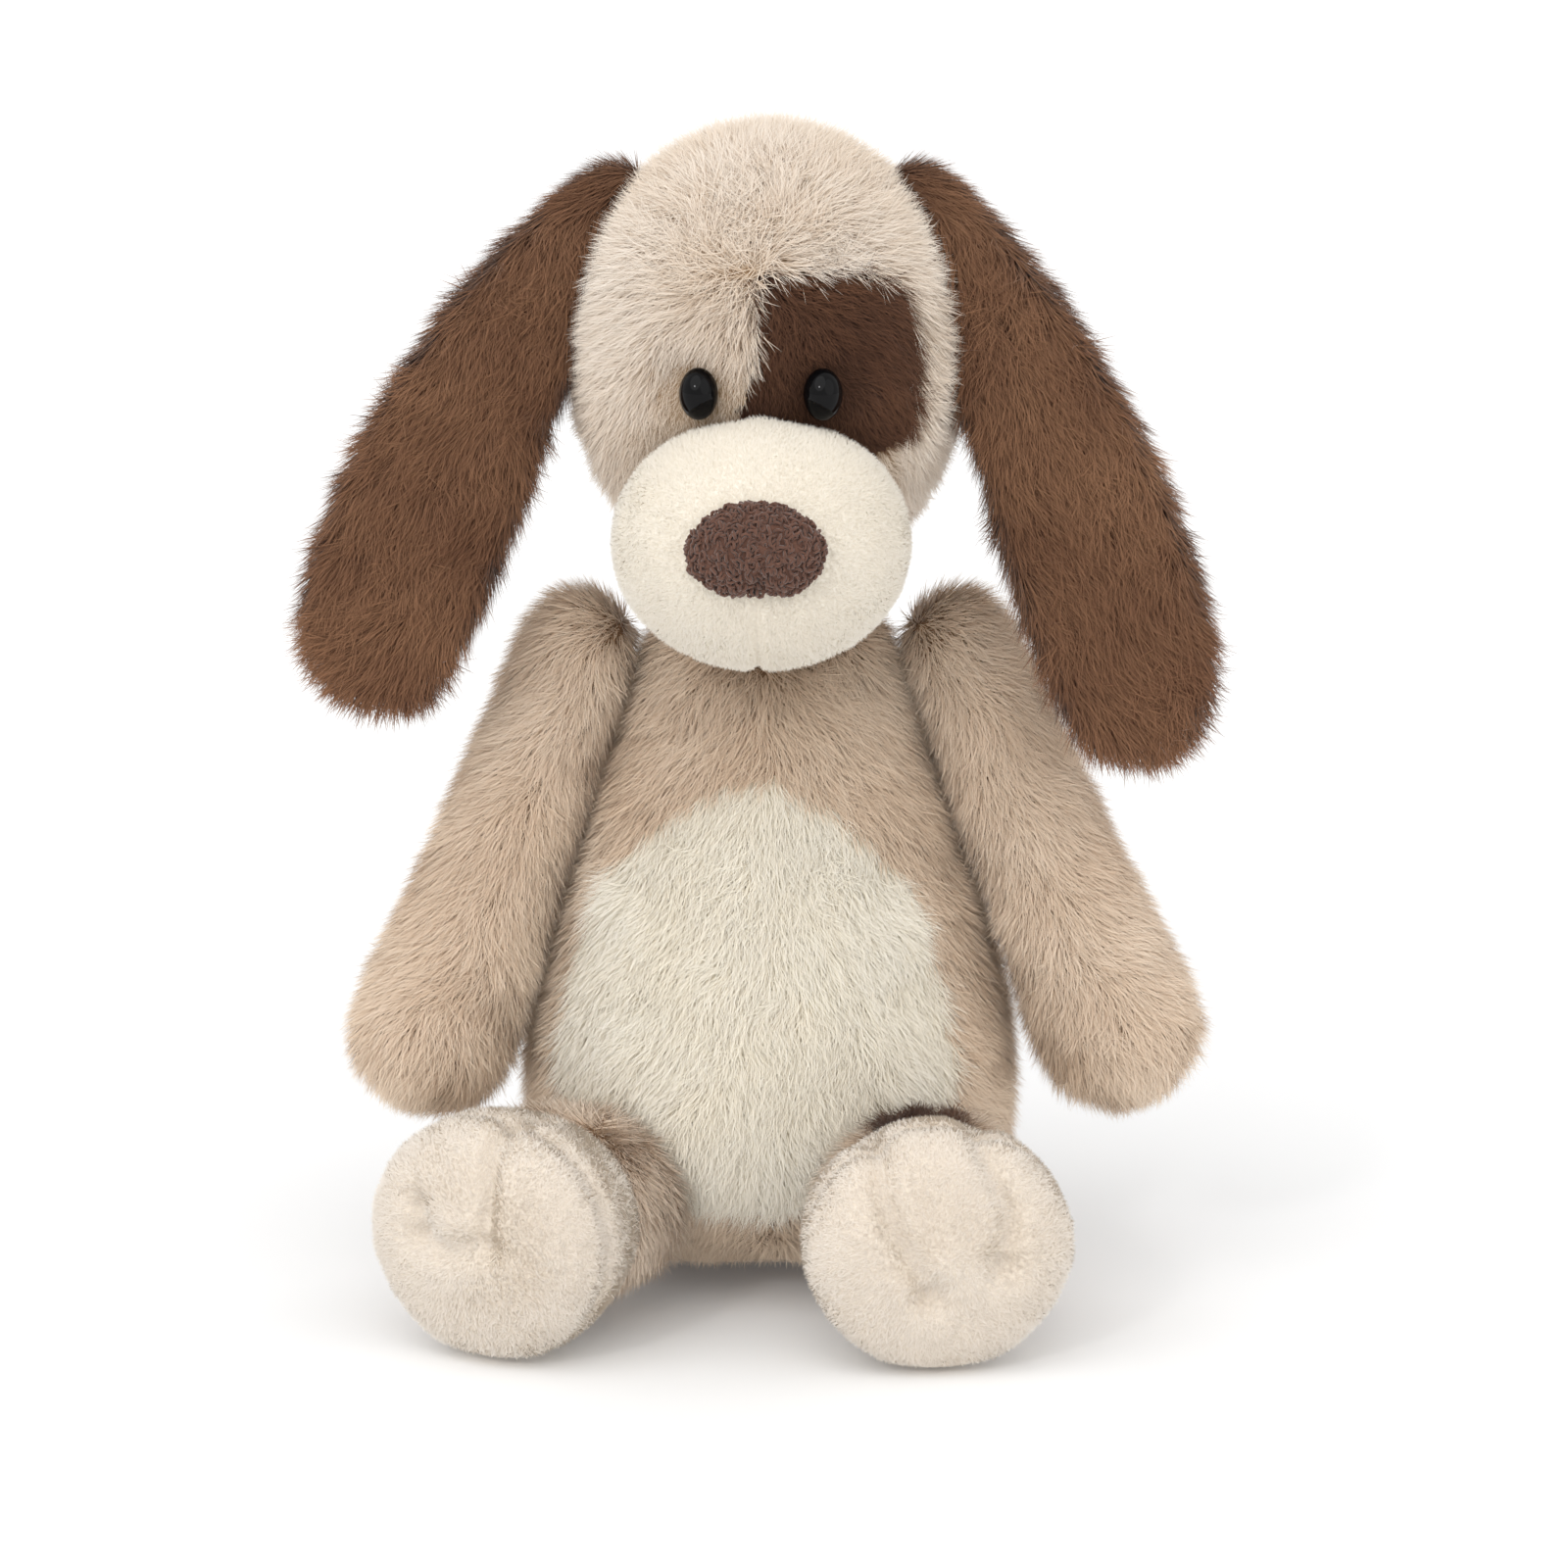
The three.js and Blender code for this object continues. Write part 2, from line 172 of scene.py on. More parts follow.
def stuffed(name, nodes, voxel, inset, swell, levels=1, pressure=4, smoothing=3):
    """The closed fabric form over these CAD nodes, slack by the inset and then filled.

    The filling presses the cloth out by at most the swell, in metres. A form that ends just
    above the floor is drawn down to it.
    """
    made = cad_copy(name, nodes)
    remesh = made.modifiers.new("even mesh", "REMESH")
    remesh.mode = "VOXEL"
    remesh.voxel_size = voxel
    smooth = made.modifiers.new("smooth", "SMOOTH")
    smooth.iterations = smoothing
    settled(made)
    start = points_of(made.data) - normals_of(made.data) * inset
    move_points(made.data, start)
    if swell:
        cloth = made.modifiers.new("filling", "CLOTH")
        cloth.settings.quality = 4
        cloth.settings.use_pressure = True
        cloth.settings.uniform_pressure_force = pressure
        cloth.settings.effector_weights.gravity = 0
        cloth.point_cache.frame_start = 1
        cloth.point_cache.frame_end = cloth_frames
        for step in range(1, cloth_frames + 1):
            scene.frame_set(step)
        settled(made)
        scene.frame_set(1)
        shift = points_of(made.data) - start
        shift -= shift.mean(0)
        length = np.linalg.norm(shift, axis=1, keepdims=True)
        shift *= np.minimum(1, swell / np.maximum(length, 1e-9))
        start = start + shift
    start[:, 2] = np.maximum(start[:, 2], floor_gap)
    move_points(made.data, start)
    finer = made.modifiers.new("finer", "SUBSURF")
    finer.levels = finer.render_levels = levels
    settled(made)
    places = points_of(made.data)
    low = places[:, 2].min()
    if low < nearly_down:
        places[:, 2] -= (low - floor_gap) * fade(places[:, 2], low + sole_height, low)
        move_points(made.data, places)
    made.data.shade_smooth()
    return made


def nearer(places, nodes, others):
    """How much nearer each point is to the first CAD nodes than to the others, in metres."""
    gaps = []
    for group in (nodes, others):
        corners, faces = [], []
        for cad_node in group:
            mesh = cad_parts[cad_node].data
            faces += [[len(corners) + i for i in f.vertices] for f in mesh.polygons]
            corners += [v.co[:] for v in mesh.vertices]
        surface = BVHTree.FromPolygons(corners, faces)
        gaps.append(np.array([surface.find_nearest(Vector(p))[3] for p in places]))
    return gaps[1] - gaps[0]


def part_of(piece, name, keep):
    """A new piece with those of this piece's faces that keep marks."""
    form = bmesh.new()
    form.from_mesh(piece.data)
    form.faces.ensure_lookup_table()
    gone = [form.faces[i] for i in np.flatnonzero(~keep)]
    bmesh.ops.delete(form, geom=gone, context="FACES")
    mesh = bpy.data.meshes.new(name)
    form.to_mesh(mesh)
    form.free()
    made = bpy.data.objects.new(name, mesh)
    scene.collection.objects.link(made)
    return made


def split(piece, name, nodes, others_name, others, margin=0.0):
    """The piece cut in two along the seam between these CAD nodes and the others.

    The margin moves the cut towards the first nodes, where the others' pile falls over them.
    """
    centres = points_of(piece.data, "polygons", "center")
    first = nearer(centres, nodes, others) > margin
    made = part_of(piece, name, first), part_of(piece, others_name, ~first)
    bpy.data.objects.remove(piece)
    return made


def near_path(places, path):
    """Each point's distance to the open path, in as many dimensions as they have."""
    places, path = np.asarray(places, float), np.asarray(path, float)
    least = np.full(len(places), 1e9)
    for a, b in zip(path, path[1:]):
        along = np.clip((places - a) @ (b - a) / max((b - a) @ (b - a), 1e-12), 0, 1)
        least = np.minimum(least, np.linalg.norm(places - a - along[:, None] * (b - a), axis=1))
    return least


bare = 0.04  # where the pile's share of its length is smaller, no strand grows
lift_range = (-0.24, 0.2)  # how far strands differ in their lean, in radians
roll_limit = 0.9  # how far a strand turns about its own length, in radians
size_range = (0.72, 1.12)  # lengths as shares of the full length
sway_size, sway = 75.0, 2.8  # waves per metre of the pile's wandering, and its strength
cloud_size = 42.0  # patches per metre that are lighter or darker


def pile_tree():
    """Strands of pile: tapered blades that stand on a skin, lie along its flow and form tufts."""
    tree = bpy.data.node_groups.new("plush pile", "GeometryNodeTree")
    face = tree.interface
    for name, kind in (
        ("Geometry", "Geometry"), ("Strands per square metre", "Float"), ("Strand length", "Float"),
        ("Strand width", "Float"), ("Root lean", "Float"), ("Bend", "Float"), ("Steps", "Int"),
        ("Tuft size", "Float"), ("Tuft pull", "Float"), ("Stray", "Float"), ("Softness", "Float"),
        ("Seed", "Int"), ("Fibre", "Material"),
    ):
        face.new_socket(name, in_out="INPUT", socket_type="NodeSocket" + kind)
    face.new_socket("Geometry", in_out="OUTPUT", socket_type="NodeSocketGeometry")
    given = node(tree, "NodeGroupInput").outputs

    def maths(operation, a, b=0.0, c=0.0):
        settings = {"operation": operation}
        return node(tree, "ShaderNodeMath", settings, {0: a, 1: b, 2: c}).outputs[0]

    def vector(operation, a, b=(0, 0, 0), scale=1.0):
        settings = {"operation": operation}
        links = {0: a, 1: b} if operation != "SCALE" else {0: a, "Scale": scale}
        return node(tree, "ShaderNodeVectorMath", settings, links).outputs[0]

    def attribute(name, kind):
        settings = {"data_type": kind}
        return node(tree, "GeometryNodeInputNamedAttribute", settings, {"Name": name}).outputs[0]

    def stored(geometry, name, value, domain="POINT", kind="FLOAT"):
        settings = {"data_type": kind, "domain": domain}
        links = {"Geometry": geometry, "Name": name, "Value": value}
        return node(tree, "GeometryNodeStoreNamedAttribute", settings, links).outputs[0]

    # one blade: it leans from the skin's normal towards +X and bends further on its way
    grid = node(tree, "GeometryNodeMeshGrid", {}, {
        "Size X": 1.0, "Size Y": 1.0, "Vertices X": given["Steps"], "Vertices Y": 2})
    place = node(tree, "GeometryNodeInputPosition").outputs[0]
    parts = node(tree, "ShaderNodeSeparateXYZ", {}, {0: place}).outputs
    blade = stored(grid.outputs["Mesh"], "along", maths("ADD", parts["X"], 0.5))
    blade = stored(blade, "side", parts["Y"])
    along, side = attribute("along", "FLOAT"), attribute("side", "FLOAT")
    angle = maths("MULTIPLY_ADD", maths("MULTIPLY", along, 0.5), given["Bend"], given["Root lean"])
    reach = maths("MULTIPLY", along, given["Strand length"])
    taper = maths("SUBTRACT", 1.0, maths("POWER", along, 1.6))
    bent = node(tree, "ShaderNodeCombineXYZ", {}, {
        "X": maths("MULTIPLY", reach, maths("SINE", angle)),
        "Y": maths("MULTIPLY", maths("MULTIPLY", side, given["Strand width"]), taper),
        "Z": maths("MULTIPLY", reach, maths("COSINE", angle))}).outputs[0]
    blade = node(tree, "GeometryNodeSetPosition", {}, {
        "Geometry": blade, "Position": bent}).outputs[0]
    blade = node(tree, "GeometryNodeMergeByDistance", {}, {
        "Geometry": blade, "Distance": 1e-6}).outputs[0]
    blade = node(tree, "GeometryNodeSetShadeSmooth", {}, {"Geometry": blade}).outputs[0]

    # the roots, each turned along the flow, pulled to its tuft's middle and a little astray
    pile = attribute("pile", "FLOAT")
    density = maths("MULTIPLY", given["Strands per square metre"],
                    maths("GREATER_THAN", pile, bare))
    roots = node(tree, "GeometryNodeDistributePointsOnFaces", {}, {
        "Mesh": given["Geometry"], "Density": density, "Seed": given["Seed"]})
    tuft = node(tree, "ShaderNodeTexVoronoi", {}, {
        "Vector": place, "Scale": maths("DIVIDE", 1.0, given["Tuft size"])})
    pull = vector("SCALE", vector("SUBTRACT", tuft.outputs["Position"], place),
                  scale=maths("DIVIDE", given["Tuft pull"], given["Tuft size"]))
    waves = node(tree, "ShaderNodeTexNoise", {}, {
        "Vector": place, "Scale": sway_size, "Detail": 2.0})
    wander = vector("SCALE", vector("SUBTRACT", waves.outputs["Color"], (0.5, 0.5, 0.5)),
                    scale=sway)
    stray = node(tree, "FunctionNodeRandomValue", {"data_type": "FLOAT_VECTOR"}, {
        "Min": (-1, -1, -1), "Max": (1, 1, 1), "Seed": given["Seed"]}).outputs[0]
    lie = vector("ADD", vector("ADD", attribute("flow", "FLOAT_VECTOR"), pull),
                 vector("ADD", wander, vector("SCALE", stray, scale=given["Stray"])))
    turn = node(tree, "FunctionNodeAxesToRotation", {"primary_axis": "Z", "secondary_axis": "X"}, {
        0: roots.outputs["Normal"], 1: lie}).outputs[0]
    lift = node(tree, "FunctionNodeRandomValue", {"data_type": "FLOAT"}, {
        2: lift_range[0], 3: lift_range[1], "Seed": maths("ADD", given["Seed"], 7.0)}).outputs[1]
    roll = node(tree, "FunctionNodeRandomValue", {"data_type": "FLOAT"}, {
        2: -roll_limit, 3: roll_limit, "Seed": maths("ADD", given["Seed"], 9.0)}).outputs[1]
    for part, amount in (("Y", lift), ("X", roll)):
        tip = node(tree, "ShaderNodeCombineXYZ", {}, {part: amount}).outputs[0]
        tip = node(tree, "FunctionNodeEulerToRotation", {}, {0: tip}).outputs[0]
        turn = node(tree, "FunctionNodeRotateRotation", {"rotation_space": "LOCAL"}, {
            0: turn, 1: tip}).outputs[0]
    size = node(tree, "FunctionNodeRandomValue", {"data_type": "FLOAT"}, {
        2: size_range[0], 3: size_range[1], "Seed": maths("ADD", given["Seed"], 3.0)}).outputs[1]
    chance = node(tree, "FunctionNodeRandomValue", {"data_type": "FLOAT"}, {
        2: 0.0, 3: 1.0, "Seed": maths("ADD", given["Seed"], 5.0)}).outputs[1]
    cloud = node(tree, "ShaderNodeTexNoise", {}, {
        "Vector": place, "Scale": cloud_size, "Detail": 3.0})
    shade = maths("MULTIPLY_ADD", chance, 0.45,
                  maths("MULTIPLY_ADD", cloud.outputs[0], 1.5, -0.47))
    spots = stored(roots.outputs["Points"], "shade", maths("MINIMUM", maths(
        "MAXIMUM", shade, 0.02), 0.98))
    spots = stored(spots, "outwards", roots.outputs["Normal"], kind="FLOAT_VECTOR")
    strands = node(tree, "GeometryNodeInstanceOnPoints", {}, {
        "Points": spots, "Instance": blade, "Rotation": turn,
        "Scale": maths("MULTIPLY", size, pile)}).outputs[0]
    strands = node(tree, "GeometryNodeRealizeInstances", {}, {0: strands}).outputs[0]
    # the strand's map: its shade across and the way from root to tip upwards
    across = maths("MULTIPLY_ADD", side, 0.02, attribute("shade", "FLOAT"))
    chart = node(tree, "ShaderNodeCombineXYZ", {}, {"X": across, "Y": along}).outputs[0]
    strands = stored(strands, "OFBake", chart, "CORNER", "FLOAT2")
    # light passes through fine fibre, so a strand takes most of its shading from the skin
    own = node(tree, "GeometryNodeInputNormal").outputs[0]
    softened = vector("NORMALIZE", vector("ADD", own, vector(
        "SCALE", attribute("outwards", "FLOAT_VECTOR"), scale=given["Softness"])))
    strands = node(tree, "GeometryNodeSetMeshNormal", {"mode": "FREE", "domain": "POINT"}, {
        "Mesh": strands, "Custom Normal": softened}).outputs[0]
    strands = node(tree, "GeometryNodeSetMaterial", {}, {
        "Geometry": strands, "Material": given["Fibre"]}).outputs[0]
    node(tree, "NodeGroupOutput", {}, {0: strands})
    return tree


plush_pile = pile_tree()


def grow_pile(skin, name, body, slot, fibre, flow, pile, **sizes):
    """The skin's pile as a piece of its own. Flow and pile hold one row for each skin point.

    The flow is the way that the strands lie and the pile is their share of the full length.
    """
    mesh = skin.data.copy()
    mesh.attributes.new("flow", "FLOAT_VECTOR", "POINT").data.foreach_set(
        "vector", np.asarray(flow, np.float32).ravel())
    mesh.attributes.new("pile", "FLOAT", "POINT").data.foreach_set(
        "value", np.asarray(pile, np.float32))
    made = bpy.data.objects.new(name, mesh)
    scene.collection.objects.link(made)
    grown = made.modifiers.new("pile", "NODES")
    grown.node_group = plush_pile
    values = {
        "Strands per square metre": 6.0e6, "Strand length": 8 * mm, "Strand width": 0.3 * mm,
        "Root lean": 0.75, "Bend": 0.4, "Steps": 2, "Tuft size": 4.5 * mm, "Tuft pull": 0.5,
        "Stray": 0.4, "Softness": 0.9, "Seed": 1, "Fibre": fibre,
    }
    values.update({key.replace("_", " ").capitalize(): value for key, value in sizes.items()})
    for item in plush_pile.interface.items_tree:
        if item.in_out == "INPUT" and item.name in values:
            grown[item.identifier] = values[item.name]
    settled(made)
    for left_over in ("flow", "pile", "along", "side", "shade", "outwards"):
        if left_over in made.data.attributes:
            made.data.attributes.remove(made.data.attributes[left_over])
    places = points_of(made.data)
    places[:, 2] = np.maximum(places[:, 2], floor_gap)
    move_points(made.data, places)
    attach(made, body)
    return made


def fibre_material(name, root, dark_tip, light_tip, rise=0.75):
    """Dyed acrylic fibre with strands of many shades. Its root colour, darker than the tips, is
    painted shade where the strands pack together.
    """
    material, tree, shader = new_material(name)
    chart = node(tree, "ShaderNodeUVMap", {"uv_map": "OFBake"}).outputs[0]
    parts = node(tree, "ShaderNodeSeparateXYZ", {}, {0: chart}).outputs
    tips = node(tree, "ShaderNodeMix", {"data_type": "RGBA"}, {
        "Factor": parts["X"], 6: linear(dark_tip), 7: linear(light_tip)}).outputs[2]
    climb = node(tree, "ShaderNodeMath", {"operation": "POWER"}, {
        0: parts["Y"], 1: rise}).outputs[0]
    # the root colour is painted shade, blended out towards the tip
    blend = node(tree, "ShaderNodeMix", {"data_type": "RGBA"}, {
        "Factor": climb, 6: linear(root), 7: tips}).outputs[2]
    tree.links.new(blend, shader.inputs["Base Color"])
    shader.inputs["Roughness"].default_value = 0.72
    shader.inputs["Specular IOR Level"].default_value = 0.2
    shader.inputs["Sheen Weight"].default_value = 0.25
    shader.inputs["Sheen Roughness"].default_value = 0.5
    return material


def backing_material(name, dark, light):
    """Knitted backing cloth: loops about 1 mm apart, seen only where the pile parts."""
    material, tree, shader = new_material(name)
    place = node(tree, "ShaderNodeTexCoord").outputs["Object"]
    loops = node(tree, "ShaderNodeTexVoronoi", {}, {"Vector": place, "Scale": 1000.0})
    cloud = node(tree, "ShaderNodeTexNoise", {}, {"Vector": place, "Scale": 60.0, "Detail": 3.0})
    mixed = node(tree, "ShaderNodeMix", {"data_type": "RGBA"}, {
        "Factor": cloud.outputs[0], 6: linear(dark), 7: linear(light)}).outputs[2]
    bump = node(tree, "ShaderNodeBump", {}, {
        "Strength": 0.6, "Distance": 0.3 * mm, "Height": loops.outputs["Distance"]}).outputs[0]
    tree.links.new(mixed, shader.inputs["Base Color"])
    tree.links.new(bump, shader.inputs["Normal"])
    shader.inputs["Roughness"].default_value = 0.95
    shader.inputs["Specular IOR Level"].default_value = 0.15
    return material


def dress(skin, body, material, nodes):
    """Gives a skin its cloth and its body, and hides the CAD nodes that it stands for."""
    if skin.name.split(".")[0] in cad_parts:
        skin.name = skin.name.split(".")[0] + "_cloth"
    skin.data.materials.clear()
    skin.data.materials.append(material)
    skin.data.shade_smooth()
    if nodes:
        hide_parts(*nodes)
    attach(skin, body)
    return skin


def fade(values, start, end):
    """A smooth step from 0 at the start to 1 at the end."""
    share = np.clip((np.asarray(values) - start) / (end - start), 0, 1)
    return share * share * (3 - 2 * share)


beige_fibre = fibre_material("acrylic pile, beige", "#c9ae93", "#e2c9ae", "#f9e9d4")
# The beige backing is darker than its pile's roots: painted shade for the dark between the strands.
beige_backing_painted_shade = backing_material("knitted backing, beige", "#7d634c", "#94785d")
# A lighter copy of the beige fibre: painted light for the arms, which face up into the light. The
# tail takes it too.
beige_fibre_painted_light = fibre_material("acrylic pile, beige, sleeves", "#d3b99e", "#e6ceb4", "#fbecd9")
cream_fibre = fibre_material("acrylic pile, cream", "#f6ecd6", "#fdf5e4", "#fffcf3")
# The cream backing is darker than its pile: painted shade for the dark between the strands.
cream_backing_painted_shade = backing_material("knitted backing, cream", "#d2c7ae", "#e0d6c0")

torso_form = stuffed("torso_form", ["torso_skin", "belly_panel", "torso_stuffing"],
                     voxel=5 * mm, inset=0.8 * mm, swell=2.5 * mm)


seat_rise = 13 * mm


def seat_lifted(piece):
    """The front of the seat rises between the legs, as the dog leans back on its pellets."""
    places = points_of(piece.data)
    places[:, 2] += (seat_rise * fade(-places[:, 1], -6 * mm, 38 * mm)
                     * fade(places[:, 2], 46 * mm, 6 * mm))
    move_points(piece.data, places)


seat_lifted(torso_form)
belly_panel, torso_skin = split(torso_form, "belly_panel", ["belly_panel"],
                                "torso_skin", ["torso_skin"])
dress(torso_skin, "torso", beige_backing_painted_shade, ["torso_skin"])
dress(belly_panel, "torso", cream_backing_painted_shade, ["belly_panel"])

places = points_of(torso_skin.data)
torso_flow = np.stack([np.sign(places[:, 0]) * 0.35 + places[:, 0] * 6,
                       np.zeros(len(places)), np.full(len(places), -1.0)], 1)
seated = 0.12 + 0.88 * fade(places[:, 2], 3 * mm, 16 * mm)
seated *= fade(places[:, 2], 0.5 * mm, 3 * mm)
neck_side = 1 - 0.25 * fade(places[:, 2], 138 * mm, 150 * mm)
for half, name in ((places[:, 1] < 0, "front"), (places[:, 1] >= 0, "back")):
    grow_pile(torso_skin, f"torso_pile_{name}", "torso", "beige_plush", beige_fibre, torso_flow,
              seated * neck_side * half, seed=11 + (name == "back"))
places = points_of(belly_panel.data)
belly_flow = np.stack([places[:, 0] * 9, np.zeros(len(places)), np.full(len(places), -1.0)], 1)
grow_pile(belly_panel, "belly_pile", "torso", "cream_plush", cream_fibre, belly_flow,
          np.full(len(places), 0.92), seed=13, strands_per_square_metre=7e6, softness=2.0)

# ---- Neck ----
# A stuffed ball of the same beige plush that the head turns on, sewn into the torso's neck
# hole and into the head, and hidden by the pile of both.
neck_skin = stuffed("neck_ball", ["neck_stuffing"], voxel=4 * mm, inset=-3 * mm, swell=1 * mm)
dress(neck_skin, "neck", beige_backing_painted_shade, [])
places = points_of(neck_skin.data)
shown = fade(places[:, 2], 142 * mm, 149 * mm) * (1 - fade(places[:, 2], 166 * mm, 170 * mm))
grow_pile(neck_skin, "neck_pile", "neck", "beige_plush", beige_fibre,
          np.tile((0, 0, -1.0), (len(places), 1)), shown * 0.7, seed=21, root_lean=1.1)

# ---- Head and eye patch ----
# Egg-shaped head of pale beige plush, filled firmly, with a dark brown patch sewn in round the
# dog's left eye. The pile grows outwards from a whorl on the forehead.
pale_fibre = fibre_material("acrylic pile, pale beige", "#c9b094", "#e6d4bf", "#fdf6ec")
# The pale backing is darker than its pile's roots: painted shade for the dark between the strands.
pale_backing_painted_shade = backing_material("knitted backing, pale beige", "#8c7157", "#a58b6c")
dark_fibre = fibre_material("acrylic pile, dark brown", "#331d13", "#4f301f", "#7a5238")
# The dark brown backing is as dark as its pile's roots or darker: painted shade between the
# strands.
dark_backing_painted_shade = backing_material("knitted backing, dark brown", "#2a1a12", "#3d281c")

head_form = stuffed("head_form", ["head_skin", "eye_patch", "head_stuffing"],
                    voxel=5 * mm, inset=0.8 * mm, swell=2.2 * mm, levels=2)
eye_middles = [sum(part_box(f"eye_{side}"), Vector()) / 2 for side in ("left", "right")]
eye_patch, head_skin = split(head_form, "eye_patch", ["eye_patch"], "head_skin", ["head_skin"],
                             margin=2.5 * mm)
dress(head_skin, "head", pale_backing_painted_shade, ["head_skin"])
dress(eye_patch, "head", dark_backing_painted_shade, ["eye_patch"])

whorl = np.array((-6, -48, 234)) * mm
muzzle_middle = np.array((-1.6, -48, 172)) * mm


def head_pile(places):
    """The head pile's flow and length: short round the eyes and under the muzzle."""
    flow = places - whorl
    flow /= np.maximum(np.linalg.norm(flow, axis=1, keepdims=True), 40 * mm)
    flow[:, 2] -= 0.2
    length = np.ones(len(places))
    for eye in eye_middles:
        gap = np.linalg.norm((places - np.array(eye))[:, [0, 2]], axis=1)
        front = places[:, 1] < -0.02
        length = np.where(front, np.minimum(length, 0.3 + 0.7 * fade(gap, 5 * mm, 15 * mm)), length)
    gap = np.linalg.norm(places - muzzle_middle, axis=1)
    length = np.minimum(length, 0.35 + 0.65 * fade(gap, 30 * mm, 44 * mm))
    inside = fade(gap, 18 * mm, 22 * mm)
    return flow, length * inside


places = points_of(head_skin.data)
flow, length = head_pile(places)
grow_pile(head_skin, "head_pile", "head", "pale_beige_plush", pale_fibre, flow, length, seed=31)
places = points_of(eye_patch.data)
flow, length = head_pile(places)
grow_pile(eye_patch, "eye_patch_pile", "head", "dark_brown_plush", dark_fibre, flow,
          length * 0.85, seed=32)

# ---- Muzzle ----
# Round cushion of cream velour with 1.6 mm pile, sewn over the face, with one seam from the nose
# down to the chin.
cream_velour = backing_material("velour, cream", "#f0e7d7", "#faf5ea")
velour_fibre = fibre_material("velour pile, cream", "#eee4d1", "#f7eedf", "#fdf8ee")

muzzle_skin = stuffed("muzzle_skin", ["muzzle_skin", "muzzle_stuffing"], voxel=3.5 * mm,
                      inset=1.2 * mm, swell=1.6 * mm, levels=2)
nose_low, nose_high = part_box("nose_cover")
nose_middle = np.array((nose_low + nose_high) / 2)
places, normals = points_of(muzzle_skin.data), normals_of(muzzle_skin.data)
seam = np.array([(nose_middle[0], nose_middle[2]), (nose_middle[0] + 0.6 * mm, 120 * mm)])
gap = near_path(places[:, [0, 2]], seam)
facing = fade(-normals[:, 1], -0.2, 0.2)
seam_depth = 1.1 * mm
groove = seam_depth * np.exp(-((gap / seam_depth) ** 2)) * facing
move_points(muzzle_skin.data, places - normals * groove[:, None])
dress(muzzle_skin, "head", cream_velour, ["muzzle_skin"])
flow = places - nose_middle
flow /= np.maximum(np.linalg.norm(flow, axis=1, keepdims=True), 1 * mm)
velour_sizes = dict(strands_per_square_metre=7.0e6, strand_length=1.6 * mm, strand_width=0.24 * mm,
                    steps=2, root_lean=0.6, bend=0.3, tuft_size=2 * mm, tuft_pull=0.3, stray=0.9,
                    softness=4.0)
in_head = fade(places[:, 1], -24 * mm, -28 * mm)
grow_pile(muzzle_skin, "muzzle_pile", "head", "cream_velour", velour_fibre, flow,
          in_head * (1 - 0.5 * groove / seam_depth), seed=41, **velour_sizes)

# ---- Nose ----
# Oval of plum-brown boucle: a knitted cloth with loops of curled yarn about 1.6 mm across. Its
# wadding is pulled in at the bottom by the last stitch.


def boucle_tree():
    """Small closed loops of yarn, thrown at every angle on a surface."""
    tree = bpy.data.node_groups.new("boucle loops", "GeometryNodeTree")
    face = tree.interface
    for name, kind in (("Geometry", "Geometry"), ("Loops per square metre", "Float"),
                       ("Loop radius", "Float"), ("Yarn radius", "Float"), ("Seed", "Int"),
                       ("Yarn", "Material")):
        face.new_socket(name, in_out="INPUT", socket_type="NodeSocket" + kind)
    face.new_socket("Geometry", in_out="OUTPUT", socket_type="NodeSocketGeometry")
    given = node(tree, "NodeGroupInput").outputs
    ring = node(tree, "GeometryNodeCurvePrimitiveCircle", {}, {
        "Resolution": 7, "Radius": given["Loop radius"]}).outputs[0]
    yarn = node(tree, "GeometryNodeCurvePrimitiveCircle", {}, {
        "Resolution": 4, "Radius": given["Yarn radius"]}).outputs[0]
    loop = node(tree, "GeometryNodeCurveToMesh", {}, {
        "Curve": ring, "Profile Curve": yarn}).outputs[0]
    loop = node(tree, "GeometryNodeSetShadeSmooth", {}, {"Geometry": loop}).outputs[0]
    spots = node(tree, "GeometryNodeDistributePointsOnFaces", {}, {
        "Mesh": given["Geometry"], "Density": given["Loops per square metre"],
        "Seed": given["Seed"]}).outputs[0]
    turn = node(tree, "FunctionNodeRandomValue", {"data_type": "FLOAT_VECTOR"}, {
        "Min": (0, 0, 0), "Max": (6.28, 6.28, 6.28), "Seed": given["Seed"]}).outputs[0]
    turn = node(tree, "FunctionNodeEulerToRotation", {}, {0: turn}).outputs[0]
    size = node(tree, "FunctionNodeRandomValue", {"data_type": "FLOAT"}, {
        2: 0.7, 3: 1.2, "Seed": given["Seed"]}).outputs[1]
    loops = node(tree, "GeometryNodeInstanceOnPoints", {}, {
        "Points": spots, "Instance": loop, "Rotation": turn, "Scale": size}).outputs[0]
    loops = node(tree, "GeometryNodeRealizeInstances", {}, {0: loops}).outputs[0]
    loops = node(tree, "GeometryNodeSetMaterial", {}, {
        "Geometry": loops, "Material": given["Yarn"]}).outputs[0]
    node(tree, "NodeGroupOutput", {}, {0: loops})
    return tree


def yarn_material(name, dark, light):
    """Brushed acrylic yarn: clouded in shade, with fine twisted fibres."""
    material, tree, shader = new_material(name)
    place = node(tree, "ShaderNodeTexCoord").outputs["Object"]
    cloud = node(tree, "ShaderNodeTexNoise", {}, {"Vector": place, "Scale": 900.0, "Detail": 3.0})
    mixed = node(tree, "ShaderNodeMix", {"data_type": "RGBA"}, {
        "Factor": cloud.outputs[0], 6: linear(dark), 7: linear(light)}).outputs[2]
    twist = node(tree, "ShaderNodeTexNoise", {}, {"Vector": place, "Scale": 4000.0})
    bump = node(tree, "ShaderNodeBump", {}, {
        "Strength": 0.5, "Distance": 0.1 * mm, "Height": twist.outputs[0]}).outputs[0]
    tree.links.new(mixed, shader.inputs["Base Color"])
    tree.links.new(bump, shader.inputs["Normal"])
    shader.inputs["Roughness"].default_value = 0.8
    shader.inputs["Specular IOR Level"].default_value = 0.25
    shader.inputs["Sheen Weight"].default_value = 0.3
    return material


